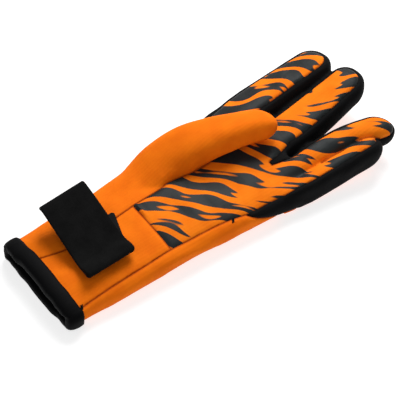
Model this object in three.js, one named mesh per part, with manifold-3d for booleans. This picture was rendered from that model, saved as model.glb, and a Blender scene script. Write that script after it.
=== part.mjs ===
// A left-hand diving glove of foam rubber faced with cloth, lying on its back with the palm up.
// The thumb lies over the palm, and the wrist strap is closed on itself in a loose flat loop.
// Everything is in millimetres. X runs from the cuff to the fingertips, Y points to the thumb's
// side and Z points up out of the palm. While it is built, X is 0 at the wrist seam. The finished
// group is moved so that its origin is the middle of the bottom of its bounding box.
import * as THREE from 'three';
import { mergeVertices } from 'three/addons/utils/BufferGeometryUtils.js';
import Module from 'manifold-3d';

const wasm = await Module();
wasm.setup();

// Main sizes
const gauntletLength = 97; // cuff edge to wrist seam
const palmLength = 124; // wrist seam to the crotches of the fingers
const gauntletWidth = 92; // lying flat, at the cuff
const knuckleWidth = 117; // lying flat, at the roots of the fingers
const gloveThickness = 26; // palm side to back
const fingerLength = 101; // crotch to tip of the middle finger
const fingerWidth = 38; // index and middle fingers
const fingerThickness = 25;
const bandBorder = 6; // width of black band seen beside the index finger's palm face
const tipLift = 16; // how far the fingertips curve up off the ground
const wall = 4; // foam rubber with cloth on both faces
const pressedFlat = 1; // how far the round forms are pressed flat where they rest
const seamGap = 0.3; // clearance between two sewn pieces

// Thumb, which lies over the palm
const thumbLength = 132; // wrist seam to tip
const thumbWidth = 37; // at its widest, over the ball of the thumb
const thumbThickness = 27;
const thumbHeight = 40; // height of its middle line where it lies over the palm
const thumbNose = 15; // length of the rounded tip

// Cuff binding, a tape folded round the edge
const bindingWidth = 12;
const bindingThickness = 1.4;

// Wrist strap, and the hook tab that it closes on
const strapWidth = 40;
const strapThickness = 2.6;
const strapFromCuff = 32; // cuff edge to the strap's nearer edge
const loopReach = 49; // how far the strap's fold stands out towards the thumb's side
const loopLift = 41; // height of the fold above the ground
const loopTwist = 3.5; // how much lower the fold's end on the cuff's side is
const strapFlare = 4; // how far the free end spreads towards the cuff
const tabThickness = 2.2;
const tabOverhang = 3.5; // how much further the tab reaches towards the fingers than the strap
const tabCurl = 2.5; // how far the tab's free end curls up
const tabReach = 20; // middle line of the glove to the tab's free end
const tabSewnAt = 1.2; // where the tab is sewn, on the thumb's side, as a share of tabReach

// Seams
const backSeamHeight = 5; // height of the seam between the back and the sides
const bandStart = 64; // where the black side band begins on the little finger's side
const bandSlope = 34; // length over which the band widens to its full height
const thumbSideEnd = 76; // where the thumb's panel gives way to the band
const palmEnd = 112; // where the palm divides into the faces of the fingers
const faceDepth = 0.3; // how low a finger's palm face reaches, as a share of its half thickness
const handNose = 5; // rounding of the webs between the fingers
const webNarrow = 0.12; // how much the webs' rounding narrows the hand, as a share
const webThin = 0.65; // how much it thins the hand for each share that it narrows it

// How the forms are divided into facets
const handFacets = 26;
const fingerFacets = 16;
const hollowFacets = 12; // the hollow inside is rounded more coarsely
const handStep = 18; // length of one ring of facets
const zoneStep = 12; // length of one step of a cutting form
const noseRings = 3;
const noseBlunt = 0.4; // how blunt a rounded tip ends, as a share of one of its rings
const tabStep = 5; // length of one row of the tab's facets
const strapRowStep = 0.3; // facets of the strap, counted in rows of its table
const handSquareness = 2.9; // 2 is an ellipse, and more is squarer
const fingerSquareness = 2.7;
const beyond = 60; // how far a cutting form reaches past what it cuts
const past = 1; // the same, where it has to stay short
const backSpread = 2.5; // how far the zone of a finger's back reaches past its sides

// Sections of the gauntlet. along is a share of gauntletLength, top of gloveThickness, and the rest
// are shares of gauntletWidth: the two outer edges, and the seams on the thumb's and little
// finger's sides.
const gauntletRows = [
  { along: -1.0, little: -0.385, thumb: 0.571, top: 0.78, thumbSeam: 0.25, littleSeam: -0.3 },
  { along: -0.6, little: -0.405, thumb: 0.582, top: 0.86, thumbSeam: 0.185, littleSeam: -0.325 },
  { along: -0.2, little: -0.42, thumb: 0.59, top: 0.93, thumbSeam: 0.205, littleSeam: -0.322 },
];

// Sections of the palm, in the same way, as shares of palmLength, knuckleWidth and gloveThickness
const palmRows = [
  { along: 0.0, little: -0.335, thumb: 0.478, top: 0.96, thumbSeam: 0.174, littleSeam: -0.25 },
  { along: 0.14, little: -0.34, thumb: 0.495, top: 0.98, thumbSeam: 0.176, littleSeam: -0.26 },
  { along: 0.28, little: -0.345, thumb: 0.505, top: 1.0, thumbSeam: 0.19, littleSeam: -0.268 },
  { along: 0.42, little: -0.353, thumb: 0.495, top: 1.0, thumbSeam: 0.25, littleSeam: -0.278 },
  { along: 0.56, little: -0.363, thumb: 0.492, top: 1.0, thumbSeam: 0.4, littleSeam: -0.3 },
  { along: 0.7, little: -0.375, thumb: 0.517, top: 1.0, thumbSeam: 0.46, littleSeam: -0.318 },
  { along: 0.84, little: -0.387, thumb: 0.565, top: 0.98, thumbSeam: 0.5, littleSeam: -0.33 },
  { along: 1.0, little: -0.4, thumb: 0.59, top: 0.94, thumbSeam: 0.52, littleSeam: -0.345 },
];

// Sections of the thumb. along is a share of thumbLength, side of knuckleWidth, height of
// thumbHeight, half of thumbWidth and thick of thumbThickness.
const thumbRows = [
  { along: -0.06, side: 0.31, height: 0.3, half: 0.37, thick: 0.74 },
  { along: 0.14, side: 0.335, height: 0.36, half: 0.49, thick: 0.84 },
  { along: 0.3, side: 0.345, height: 0.56, half: 0.51, thick: 1.0 },
  { along: 0.48, side: 0.305, height: 0.84, half: 0.49, thick: 1.0 },
  { along: 0.66, side: 0.243, height: 0.98, half: 0.41, thick: 0.93 },
  { along: 0.78, side: 0.2, height: 1.0, half: 0.36, thick: 0.88 },
  { along: 0.89, side: 0.158, height: 1.0, half: 0.33, thick: 0.83 },
];

// Fingers. length is crotch to tip, as a share of fingerLength, width is a share of fingerWidth and
// side, the middle of the root, of knuckleWidth. roll turns the palm face, in degrees, towards the
// thumb. thumbBorder and littleBorder are the widths of band seen beside the palm face on its two
// sides, as shares of bandBorder, and nose is the length of the rounded tip, as a share of the
// finger's own width. In the rows, along is a share of the finger's length, shift and half of its
// width, thick of fingerThickness and lift of tipLift.
const fingers = [
  { // the index finger
    length: 0.911, width: 1.0, side: 0.427, roll: -16, thumbBorder: 1.0, littleBorder: 0.67, nose: 0.45,
    rows: [
      { along: -0.3, shift: -0.05, half: 0.36, thick: 0.86, lift: 0.0 },
      { along: 0.0, shift: 0.0, half: 0.5, thick: 1.0, lift: 0.08 },
      { along: 0.4, shift: 0.03, half: 0.5, thick: 1.0, lift: 0.36 },
      { along: 0.81, shift: 0.01, half: 0.46, thick: 0.94, lift: 0.85 },
    ],
  },
  { // the middle finger
    length: 1.0, width: 1.0, side: 0.094, roll: -5, thumbBorder: 0.75, littleBorder: 0.83, nose: 0.47,
    rows: [
      { along: -0.27, shift: 0.0, half: 0.46, thick: 0.92, lift: 0.0 },
      { along: 0.0, shift: 0.0, half: 0.49, thick: 1.0, lift: 0.08 },
      { along: 0.35, shift: 0.04, half: 0.5, thick: 1.0, lift: 0.36 },
      { along: 0.82, shift: 0.16, half: 0.45, thick: 0.94, lift: 0.95 },
    ],
  },
  { // the ring finger
    length: 0.911, width: 0.58, side: -0.175, roll: 0, thumbBorder: 0.67, littleBorder: 0.0, nose: 0.68,
    rows: [
      { along: -0.27, shift: 0.0, half: 0.45, thick: 0.92, lift: 0.0 },
      { along: 0.0, shift: 0.0, half: 0.46, thick: 1.0, lift: 0.05 },
      { along: 0.3, shift: 0.03, half: 0.49, thick: 1.02, lift: 0.2 },
      { along: 0.6, shift: -0.1, half: 0.49, thick: 1.02, lift: 0.4 },
      { along: 0.82, shift: -0.42, half: 0.56, thick: 0.98, lift: 0.6 },
    ],
  },
  { // the little finger
    length: 0.713, width: 0.5, side: -0.325, roll: 0, thumbBorder: 0.13, littleBorder: 1.07, nose: 0.84,
    rows: [
      { along: -0.32, shift: 0.08, half: 0.36, thick: 0.88, lift: 0.0 },
      { along: 0.0, shift: 0.0, half: 0.48, thick: 0.98, lift: 0.0 },
      { along: 0.35, shift: -0.06, half: 0.5, thick: 0.98, lift: 0.12 },
      { along: 0.78, shift: -0.2, half: 0.5, thick: 0.96, lift: 0.45 },
    ],
  },
];

// The hook tab, from where it is sewn to its free end. side is a share of tabReach, counted towards
// the thumb's side, and lift of tabCurl.
const tabRows = [
  { side: -1.0, lift: 1.0 },
  { side: -0.6, lift: 0.8 },
  { side: 0.0, lift: 0.3 },
  { side: 0.5, lift: 0.05 },
  { side: 1.2, lift: 0.0 },
];

// The strap's inner face, from where it is sewn, round the fold and back. side is a share of
// loopReach. onTab is 0 where the strap lies over the gauntlet's skin and 1 where it lies over the
// tab, and rise is a share of the way up from there to loopLift.
const strapRows = [
  { side: 0.56, onTab: 0.0, rise: 0.0 },
  { side: 0.7, onTab: 0.0, rise: 0.08 },
  { side: 0.86, onTab: 0.0, rise: 0.46 },
  { side: 0.97, onTab: 0.0, rise: 0.84 },
  { side: 1.0, onTab: 0.1, rise: 0.97 },
  { side: 0.95, onTab: 0.2, rise: 1.0 },
  { side: 0.72, onTab: 0.6, rise: 0.82 },
  { side: 0.4, onTab: 1.0, rise: 0.48 },
  { side: 0.08, onTab: 1.0, rise: 0.14 },
  { side: -0.14, onTab: 1.0, rise: 0.01 },
  { side: -0.43, onTab: 1.0, rise: 0.0 },
];

// Smooth curve through one column of a table, read at any place along it
function column(rows, name) {
  const places = rows.map((row) => row.at);
  const values = rows.map((row) => row[name]);
  const curve = new THREE.CubicInterpolant(places, values, 1);
  const first = places[0];
  const last = places[places.length - 1];
  return (place) => curve.evaluate(Math.min(Math.max(place, first), last))[0];
}

// The hand's rows in millimetres, from the cuff to the webs of the fingers
const handRows = [
  ...gauntletRows.map((row) => handRow(row, gauntletLength, gauntletWidth)),
  ...palmRows.map((row) => handRow(row, palmLength, knuckleWidth)),
];

function handRow(row, length, width) {
  return {
    at: row.along * length,
    little: row.little * width,
    thumb: row.thumb * width,
    top: row.top * gloveThickness,
    thumbSeam: row.thumbSeam * width,
    littleSeam: row.littleSeam * width,
  };
}

const littleEdge = column(handRows, 'little');
const thumbEdge = column(handRows, 'thumb');
const handTop = column(handRows, 'top');
const thumbSeam = column(handRows, 'thumbSeam');
const littleSeam = column(handRows, 'littleSeam');

// One ring of a rounded form: its middle, its half width and half height, and its roll
function roundRing(middle, halfWidth, halfHeight, facets, squareness, roll) {
  const points = [];
  const power = 2 / squareness;
  for (let i = 0; i < facets; i += 1) {
    const angle = (i / facets) * 2 * Math.PI;
    const c = Math.cos(angle);
    const s = Math.sin(angle);
    const across = halfWidth * Math.sign(c) * Math.abs(c) ** power;
    const up = halfHeight * Math.sign(s) * Math.abs(s) ** power;
    points.push(rolled(middle, across, up, roll));
  }
  return points;
}

// One ring with four corners, between two widths and two heights measured from its middle
function boxRing(middle, left, right, low, high, roll) {
  return [
    rolled(middle, right, low, roll),
    rolled(middle, right, high, roll),
    rolled(middle, left, high, roll),
    rolled(middle, left, low, roll),
  ];
}

function rolled(middle, across, up, roll) {
  const c = Math.cos(roll);
  const s = Math.sin(roll);
  return new THREE.Vector3(middle.x, middle.y + across * c - up * s, middle.z + across * s + up * c);
}

// A closed solid through rings with equal counts of points, with flat ends
function loft(rings) {
  const count = rings[0].length;
  const positions = [];
  const face = (a, b, c) => positions.push(...a.toArray(), ...b.toArray(), ...c.toArray());
  for (let i = 0; i + 1 < rings.length; i += 1) {
    for (let j = 0; j < count; j += 1) {
      const k = (j + 1) % count;
      face(rings[i][j], rings[i][k], rings[i + 1][k]);
      face(rings[i][j], rings[i + 1][k], rings[i + 1][j]);
    }
  }
  const ends = [rings[0], [...rings[rings.length - 1]].reverse()];
  for (const ring of ends) {
    const centre = ring.reduce((sum, point) => sum.add(point), new THREE.Vector3());
    centre.divideScalar(count);
    for (let j = 0; j < count; j += 1) {
      face(ring[(j + 1) % count], ring[j], centre);
    }
  }
  return solidFrom(positions);
}

// A solid for joining and cutting, from a plain list of triangle corners
function solidFrom(positions) {
  const loose = new THREE.BufferGeometry();
  loose.setAttribute('position', new THREE.Float32BufferAttribute(positions, 3));
  const merged = mergeVertices(loose);
  const mesh = new wasm.Mesh({
    numProp: 3,
    vertProperties: new Float32Array(merged.attributes.position.array),
    triVerts: new Uint32Array(merged.index.array),
  });
  return new wasm.Manifold(mesh);
}

function evenSteps(from, to, step) {
  const count = Math.max(1, Math.round((to - from) / step));
  return Array.from({ length: count + 1 }, (unused, i) => from + ((to - from) * i) / count);
}

// How far along a rounded tip each of its rings lies, and how wide it is there, as shares
function noseShares() {
  const shares = [];
  for (let i = 1; i <= noseRings; i += 1) {
    const angle = (i / (noseRings + noseBlunt)) * (Math.PI / 2);
    shares.push({ out: Math.sin(angle), wide: Math.cos(angle) });
  }
  return shares;
}

// The hand and gauntlet as one rounded form. grow is how far its skin lies outside the glove's.
function handForm(grow, mouth) {
  const ring = (place, x, share) => {
    const halfWidth = ((thumbEdge(place) - littleEdge(place)) / 2 + grow) * share;
    const halfHeight = (handTop(place) / 2 + grow) * (1 - webThin * (1 - share));
    const side = (thumbEdge(place) + littleEdge(place)) / 2;
    const middle = new THREE.Vector3(x, side, handTop(place) / 2 - pressedFlat);
    return roundRing(middle, halfWidth, halfHeight, handFacets, handSquareness, 0);
  };
  const rings = evenSteps(-gauntletLength, palmLength, handStep).map((x) => ring(x, x, 1));
  if (mouth > 0) {
    rings.unshift(ring(-gauntletLength, -gauntletLength - mouth, 1));
  }
  for (const share of noseShares()) {
    const wide = 1 - (1 - share.wide) * webNarrow;
    rings.push(ring(palmLength, palmLength + (handNose + grow) * share.out, wide));
  }
  return loft(rings);
}

// A finger's rows in millimetres, with the height of its middle line
function fingerRows(finger) {
  return finger.rows.map((row) => ({
    at: palmLength + row.along * finger.length * fingerLength,
    side: finger.side * knuckleWidth + row.shift * finger.width * fingerWidth,
    height: (row.thick * fingerThickness) / 2 - pressedFlat + row.lift * tipLift,
    half: row.half * finger.width * fingerWidth,
    thick: (row.thick * fingerThickness) / 2,
  }));
}

function fingerNose(finger) {
  return finger.nose * finger.width * fingerWidth;
}

// The rings of a form that follows a table's middle line, with a rounded tip. section makes one
// ring from its middle, its half width, its half height and its share of the full width.
function followRings(rows, nose, section) {
  const side = column(rows, 'side');
  const half = column(rows, 'half');
  const thick = column(rows, 'thick');
  const height = column(rows, 'height');
  const first = rows[0].at;
  const last = rows[rows.length - 1].at;
  const rings = evenSteps(first, last, handStep).map((x) => {
    return section(new THREE.Vector3(x, side(x), height(x)), half(x), thick(x), 1);
  });
  const back = last - nose;
  const turn = (curve) => (curve(last) - curve(back)) / nose;
  for (const share of noseShares()) {
    const out = nose * share.out;
    const middle = new THREE.Vector3(
      last + out,
      side(last) + turn(side) * out,
      height(last) + turn(height) * out,
    );
    rings.push(section(middle, half(last) * share.wide, thick(last) * share.wide, share.wide));
  }
  return rings;
}

function facetsFor(grow) {
  return grow < 0 ? hollowFacets : fingerFacets;
}

function fingerForm(finger, grow) {
  const roll = THREE.MathUtils.degToRad(finger.roll);
  const rows = fingerRows(finger).map((row) => ({
    ...row,
    half: row.half + grow,
    thick: row.thick + grow,
  }));
  return loft(followRings(rows, fingerNose(finger) + grow, (middle, half, thick) => {
    return roundRing(middle, half, thick, facetsFor(grow), fingerSquareness, roll);
  }));
}

// The part of a finger that is its palm face: everything high enough, inside the border
function faceZone(finger, grow) {
  const roll = THREE.MathUtils.degToRad(finger.roll);
  const low = (faceDepth * fingerThickness) / 2 - grow;
  const littleInset = finger.littleBorder * bandBorder - grow;
  const thumbInset = finger.thumbBorder * bandBorder - grow;
  const nose = fingerNose(finger) - (littleInset + thumbInset) / 2;
  return loft(followRings(fingerRows(finger), nose, (middle, half, thick, share) => {
    const left = half - littleInset * share;
    const right = half - thumbInset * share;
    return boxRing(middle, -left, right, low, beyond, roll);
  }));
}

// The part of a finger that is its back: everything lower than the seam
function fingerBackZone(finger, grow) {
  const roll = THREE.MathUtils.degToRad(finger.roll);
  const seam = backSeamHeight + grow - fingerThickness / 2;
  return loft(followRings(fingerRows(finger), fingerNose(finger), (middle, half, thick, share) => {
    const wide = half / share + backSpread;
    return boxRing(middle, -wide, wide, -beyond, seam, roll);
  }));
}

const thumbMillimetres = thumbRows.map((row) => ({
  at: row.along * thumbLength,
  side: row.side * knuckleWidth,
  height: row.height * thumbHeight,
  half: row.half * thumbWidth,
  thick: (row.thick * thumbThickness) / 2,
}));

function thumbForm(grow) {
  const rows = thumbMillimetres.map((row) => ({
    ...row,
    half: row.half + grow,
    thick: row.thick + grow,
  }));
  return loft(followRings(rows, thumbNose + grow, (middle, half, thick) => {
    return roundRing(middle, half, thick, facetsFor(grow), fingerSquareness, 0);
  }));
}

// A zone of the hand between two places along it, with its sides and heights given by a function.
// All zones bend at the same places, so that two that meet at a seam follow the same line.
function handZone(from, to, sides) {
  const ring = (x, side) => {
    return boxRing(new THREE.Vector3(x, 0, 0), side.left, side.right, side.low, side.high, 0);
  };
  const everything = {
    left: -2 * knuckleWidth,
    right: 2 * knuckleWidth,
    low: -2 * beyond,
    high: 2 * beyond,
  };
  const whole = evenSteps(-gauntletLength - beyond, palmLength + 2 * beyond, zoneStep);
  const slice = loft([ring(from, everything), ring(to, everything)]);
  return loft(whole.map((x) => ring(x, sides(x)))).intersect(slice);
}

function joined(solids) {
  return solids.reduce((sum, solid) => sum.add(solid));
}

// The main body of a cut solid, without the slivers that cutting can leave
function mainBody(solid) {
  const bodies = solid.decompose();
  return bodies.reduce((best, body) => (body.volume() > best.volume() ? body : best));
}

// Forms of the whole glove: its outer skin, and the hollow that the hand goes into
const middleHeight = gloveThickness / 2;
const ground = handZone(-gauntletLength - beyond, palmLength + 2 * beyond, () => ({
  left: -knuckleWidth,
  right: knuckleWidth,
  low: -beyond,
  high: 0,
}));

const outerForm = joined([
  handForm(0, 0),
  thumbForm(0),
  ...fingers.map((finger) => fingerForm(finger, 0)),
]).subtract(ground);

const hollow = joined([
  handForm(-wall, beyond),
  thumbForm(-wall),
  ...fingers.map((finger) => fingerForm(finger, -wall)),
]);

const shell = outerForm.subtract(hollow);

// Zones that belong to each panel. grow widens a zone, so that what it cuts keeps the seam's gap.
function thumbZone(grow) {
  const side = handZone(-gauntletLength - past, thumbSideEnd + grow, (x) => ({
    left: thumbSeam(x) - grow,
    right: knuckleWidth,
    low: backSeamHeight - grow,
    high: beyond,
  }));
  return side.add(thumbForm(grow));
}

function gauntletZone(grow) {
  return handZone(-gauntletLength - past, grow, (x) => ({
    left: littleSeam(x) - grow,
    right: thumbSeam(x) + grow,
    low: middleHeight - grow,
    high: beyond,
  }));
}

function palmZone(grow) {
  const palm = handZone(-grow, palmEnd + grow, (x) => ({
    left: littleSeam(x) - grow,
    right: thumbSeam(x) + grow,
    low: middleHeight - grow,
    high: beyond,
  }));
  return joined([palm, ...fingers.map((finger) => faceZone(finger, grow))]);
}

function backZone(grow) {
  const slab = handZone(-gauntletLength - past, palmEnd, () => ({
    left: -knuckleWidth,
    right: knuckleWidth,
    low: -beyond,
    high: backSeamHeight + grow,
  }));
  const side = handZone(-gauntletLength - past, bandStart + bandSlope, (x) => {
    const done = Math.min(Math.max((x - bandStart) / bandSlope, 0), 1);
    const high = gloveThickness * (1 - done) + backSeamHeight * done;
    return { left: -knuckleWidth, right: littleSeam(x) + grow, low: 0, high: high + grow };
  });
  return joined([slab, side, ...fingers.map((finger) => fingerBackZone(finger, grow))]);
}

const thumbPanel = mainBody(shell.intersect(thumbZone(0)));
const withoutThumb = shell.subtract(thumbZone(seamGap));
const gauntletPanel = mainBody(withoutThumb.intersect(gauntletZone(0)).subtract(palmZone(seamGap)));
const palmPanel = mainBody(withoutThumb.intersect(palmZone(0)));
const withoutPalm = withoutThumb.subtract(gauntletZone(seamGap)).subtract(palmZone(seamGap));
const backPanel = mainBody(withoutPalm.intersect(backZone(0)));
const sideBand = mainBody(withoutPalm.subtract(backZone(seamGap)));

// Cuff binding: a tape folded round the cuff's edge, outside, over the end and inside
function bindingSolid() {
  const outside = bindingThickness + seamGap;
  const tape = handForm(outside, outside);
  const mouth = handForm(-wall - outside, beyond);
  const covered = handForm(seamGap, 0).subtract(handForm(-wall - seamGap, beyond));
  const end = -gauntletLength + bindingWidth;
  const kept = handZone(-gauntletLength - outside - past, end, () => ({
    left: -knuckleWidth,
    right: knuckleWidth,
    low: 0,
    high: beyond,
  }));
  const edge = handZone(-gauntletLength - seamGap, end + past, () => ({
    left: -knuckleWidth,
    right: knuckleWidth,
    low: -past,
    high: beyond,
  }));
  const folded = tape.subtract(mouth).subtract(covered.intersect(edge));
  return mainBody(folded.intersect(kept));
}

// Height of the gauntlet's upper skin at any point
function skinHeight(x, y) {
  const half = (thumbEdge(x) - littleEdge(x)) / 2;
  const side = (thumbEdge(x) + littleEdge(x)) / 2;
  const share = Math.min(Math.abs((y - side) / half), 1);
  const up = (1 - share ** handSquareness) ** (1 / handSquareness);
  return handTop(x) / 2 - pressedFlat + (handTop(x) / 2) * up;
}

// A band of cloth with a thickness. lines holds, for each place across the band, the points of its
// inner face along its length, and the outer face lies square to them.
function clothBand(lines, thickness) {
  const rings = lines[0].map((unused, j) => {
    const inner = lines.map((line) => line[j]);
    const outer = lines.map((line) => line[j].clone().addScaledVector(squareTo(line, j), thickness));
    return [...inner, ...outer.reverse()];
  });
  return loft(rings);
}

function squareTo(line, j) {
  const ahead = line[Math.min(j + 1, line.length - 1)];
  const behind = line[Math.max(j - 1, 0)];
  const along = ahead.clone().sub(behind).normalize();
  return new THREE.Vector3(0, along.z, -along.y);
}

// Height of the tab's lower face: it lies on the gauntlet where it is sewn, and its end curls up
const tabCurve = column(tabRows.map((row) => ({ at: row.side * tabReach, lift: row.lift })), 'lift');

function tabHeight(x, y) {
  return skinHeight(x, y) + seamGap + tabCurve(y) * tabCurl;
}

function bandPlaces(width) {
  const from = -gauntletLength + strapFromCuff;
  return evenSteps(from, from + width, handStep);
}

function tabSolid() {
  const lines = bandPlaces(strapWidth + tabOverhang).map((x) => {
    return evenSteps(-tabReach * tabSewnAt, tabReach, tabStep).map((y) => {
      return new THREE.Vector3(x, -y, tabHeight(x, -y));
    });
  });
  return clothBand(lines, tabThickness);
}

// The strap starts beside the tab, runs out over the thumb's side, folds back and lies on the tab
function strapSolid() {
  const rows = strapRows.map((row, i) => ({ ...row, at: i }));
  const side = column(rows, 'side');
  const onTab = column(rows, 'onTab');
  const rise = column(rows, 'rise');
  const last = rows.length - 1;
  const steps = evenSteps(0, last, strapRowStep);
  const places = bandPlaces(strapWidth);
  const lines = places.map((place) => steps.map((step) => {
    const cuffSide = (places[places.length - 1] - place) / strapWidth;
    const x = place - strapFlare * cuffSide * (step / last) ** 2;
    const y = side(step) * loopReach;
    const fold = loopLift - loopTwist * cuffSide;
    const skin = skinHeight(x, y) + strapThickness;
    const tab = tabHeight(x, y) + tabThickness;
    const low = skin + (tab - skin) * onTab(step) + seamGap;
    return new THREE.Vector3(x, y, low + Math.max(rise(step), 0) * (fold - low));
  }));
  return clothBand(lines, strapThickness);
}

// One named mesh of the glove, with its own material
function named(name, solid, colour, roughness) {
  const mesh = solid.getMesh();
  const geometry = new THREE.BufferGeometry();
  geometry.setAttribute('position', new THREE.BufferAttribute(mesh.vertProperties, 3));
  geometry.setIndex(new THREE.BufferAttribute(mesh.triVerts, 1));
  geometry.computeVertexNormals();
  const material = new THREE.MeshStandardMaterial({ color: colour, roughness, metalness: 0 });
  const part = new THREE.Mesh(geometry, material);
  part.name = name;
  return part;
}

const orange = '#f4791c';
const black = '#1c1c1e';

const pieces = new THREE.Group();
pieces.add(
  named('cuff_binding', bindingSolid(), black, 0.7),
  named('gauntlet_panel', gauntletPanel, orange, 0.75),
  named('thumb_panel', thumbPanel, orange, 0.75),
  named('palm_panel', palmPanel, orange, 0.75),
  named('back_panel', backPanel, orange, 0.75),
  named('finger_side_band', sideBand, black, 0.75),
  named('hook_tab', tabSolid(), black, 0.9),
  named('wrist_strap', strapSolid(), black, 0.85),
);

// The origin is the middle of the bottom of the bounding box
const glove = new THREE.Group();
glove.add(pieces);
const box = new THREE.Box3().setFromObject(pieces);
const centre = box.getCenter(new THREE.Vector3());
pieces.position.set(-centre.x, -centre.y, -box.min.z);

export default glove;
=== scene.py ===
import math

import bpy
import numpy as np
from mathutils import Matrix, Vector, kdtree


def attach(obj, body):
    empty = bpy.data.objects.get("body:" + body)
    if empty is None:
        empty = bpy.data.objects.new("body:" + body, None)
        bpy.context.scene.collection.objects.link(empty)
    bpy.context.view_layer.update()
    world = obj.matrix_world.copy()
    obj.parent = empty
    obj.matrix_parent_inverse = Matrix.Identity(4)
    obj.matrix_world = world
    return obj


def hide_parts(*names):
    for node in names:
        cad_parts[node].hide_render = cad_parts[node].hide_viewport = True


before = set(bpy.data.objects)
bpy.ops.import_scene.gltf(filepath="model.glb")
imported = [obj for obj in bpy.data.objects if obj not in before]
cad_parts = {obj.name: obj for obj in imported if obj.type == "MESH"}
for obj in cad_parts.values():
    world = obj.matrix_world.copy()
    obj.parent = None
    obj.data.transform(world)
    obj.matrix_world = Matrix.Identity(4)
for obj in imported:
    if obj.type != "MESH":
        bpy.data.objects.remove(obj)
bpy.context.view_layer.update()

# A left-hand diving glove, lying on its back. Shapes are worked out in millimetres from the wrist
# seam, with x to the fingertips, y to the thumb's side and z up, and then moved into the frame.
toFrame = np.array([-62.838, -9.431, 0.0])

glove = {
    "gauntletLength": 97.0, "palmLength": 124.0, "gauntletWidth": 92.0, "knuckleWidth": 117.0,
    "thickness": 26.0, "squareness": 2.9, "webLength": 5.0, "webNarrow": 0.12, "webThin": 0.65,
    "pressed": 1.0,    # how far the round forms are pressed flat where they lie
    "softBottom": 1.6,    # height below which the skin bends flat onto the floor
    "wall": 3.6,    # foam rubber with cloth on both faces
    "pastCuff": 8.0,    # how far the form runs on before it is cut at the cuff
    "step": 2.0, "around": 120,    # mm from ring to ring of points, and how many points are in one
    "voxel": 1.25,    # mesh size of the skin
    "smoothing": 7,
    "aboveFloor": 0.05, "liningAboveFloor": 0.4,
    # from, to, side, height, half width, half thickness
    "webFill": (120.0, 137.0, -8.6, 8.0, 5.0, 7.5),
    # along, little finger's side, thumb's side, top, seam on the thumb's side, on the little finger's
    "gauntlet": [
        (-1.0, -0.385, 0.571, 0.78, 0.29, -0.345),
        (-0.6, -0.405, 0.582, 0.86, 0.185, -0.325),
        (-0.2, -0.42, 0.59, 0.93, 0.205, -0.322),
    ],
    "palm": [
        (0.0, -0.335, 0.478, 0.96, 0.174, -0.25),
        (0.14, -0.34, 0.495, 0.98, 0.176, -0.26),
        (0.28, -0.345, 0.505, 1.0, 0.19, -0.268),
        (0.42, -0.353, 0.495, 1.0, 0.25, -0.283),
        (0.56, -0.363, 0.492, 1.0, 0.4, -0.31),
        (0.7, -0.375, 0.517, 1.0, 0.46, -0.318),
        (0.84, -0.387, 0.565, 0.98, 0.5, -0.33),
        (1.0, -0.4, 0.59, 0.94, 0.52, -0.345),
    ],
}

digits = {
    "fingerLength": 101.0, "fingerWidth": 38.0, "fingerThickness": 25.0, "squareness": 2.7,
    "tipLift": 16.0, "bandBorder": 6.0, "faceDepth": 0.3,
    "thumbLength": 132.0, "thumbWidth": 37.0, "thumbThickness": 27.0, "thumbHeight": 40.0,
    "thumbNose": 15.0, "around": 72,
    # length, width, side, roll, border on the thumb's side, on the little finger's, tip
    "fingers": [
        (0.911, 1.0, 0.427, -16.0, 1.0, 0.67, 0.45),
        (1.0, 1.0, 0.094, -5.0, 0.75, 0.83, 0.47),
        (0.911, 0.58, -0.175, 0.0, 0.67, 0.0, 0.68),
        (0.713, 0.5, -0.325, 0.0, 0.13, 1.07, 0.84),
    ],
    # for each finger: along, shift, half width, thickness, lift
    "sections": [
        [(-0.3, -0.05, 0.36, 0.86, 0.0), (0.0, 0.0, 0.5, 1.0, 0.08), (0.4, 0.03, 0.5, 1.0, 0.36),
         (0.81, 0.01, 0.46, 0.94, 0.85)],
        [(-0.27, 0.0, 0.46, 0.92, 0.0), (0.0, 0.0, 0.49, 1.0, 0.08), (0.35, 0.04, 0.5, 1.0, 0.36),
         (0.82, 0.16, 0.45, 0.94, 0.95)],
        [(-0.27, 0.0, 0.45, 0.92, 0.0), (0.0, 0.0, 0.46, 1.0, 0.05), (0.3, 0.03, 0.49, 1.02, 0.2),
         (0.6, -0.1, 0.49, 1.02, 0.4), (0.82, -0.42, 0.56, 0.98, 0.6)],
        [(-0.32, 0.08, 0.36, 0.88, 0.0), (0.0, 0.0, 0.48, 0.98, 0.0), (0.35, -0.06, 0.5, 0.98, 0.12),
         (0.78, -0.2, 0.5, 0.96, 0.45)],
    ],
    # along, side, height, half width, thickness
    "thumb": [
        (-0.06, 0.31, 0.3, 0.37, 0.74), (0.14, 0.335, 0.36, 0.49, 0.84), (0.3, 0.345, 0.56, 0.51, 1.0),
        (0.48, 0.305, 0.84, 0.49, 1.0), (0.66, 0.243, 0.98, 0.41, 0.93), (0.78, 0.2, 1.0, 0.36, 0.88),
        (0.89, 0.158, 1.0, 0.33, 0.83),
    ],
}

seams = {
    "back": 3.2,    # height of the seam round the back panel
    "bandStart": 48.6, "bandSlope": 51.6,    # where the black band starts, and how long it slants down
    "thumbSideStart": 58.0, "thumbSideSlope": 40.0, "bandTop": 4.0,
    "palmEnd": 112.0, "backSpread": 2.5,
    "borderGrowth": 26.0,    # how far a border between two fingers takes to its full width
    "creaseStart": 146.0,    # where the seam between the last two fingers' faces starts
    "grooveDepth": 0.8, "grooveWidth": 1.5,    # how far the sewn edges are drawn in
    "crown": 0.6, "crownWidth": 8.0,
    # the turned edge beside the wrist seam, which fades in from the middle to the thumb's side
    "welt": 1.5, "weltWidth": 1.3, "weltPlace": 2.4, "weltFrom": 4.0, "weltFade": 6.0,
    "tackLength": 4.2, "tackThread": 0.38,    # thread loops that hold the ends of the long seam
    "tackAcross": (0.5, 0.86), "tacks": [(-83.5, -30.8), (55.0, -34.6)],
}


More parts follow.
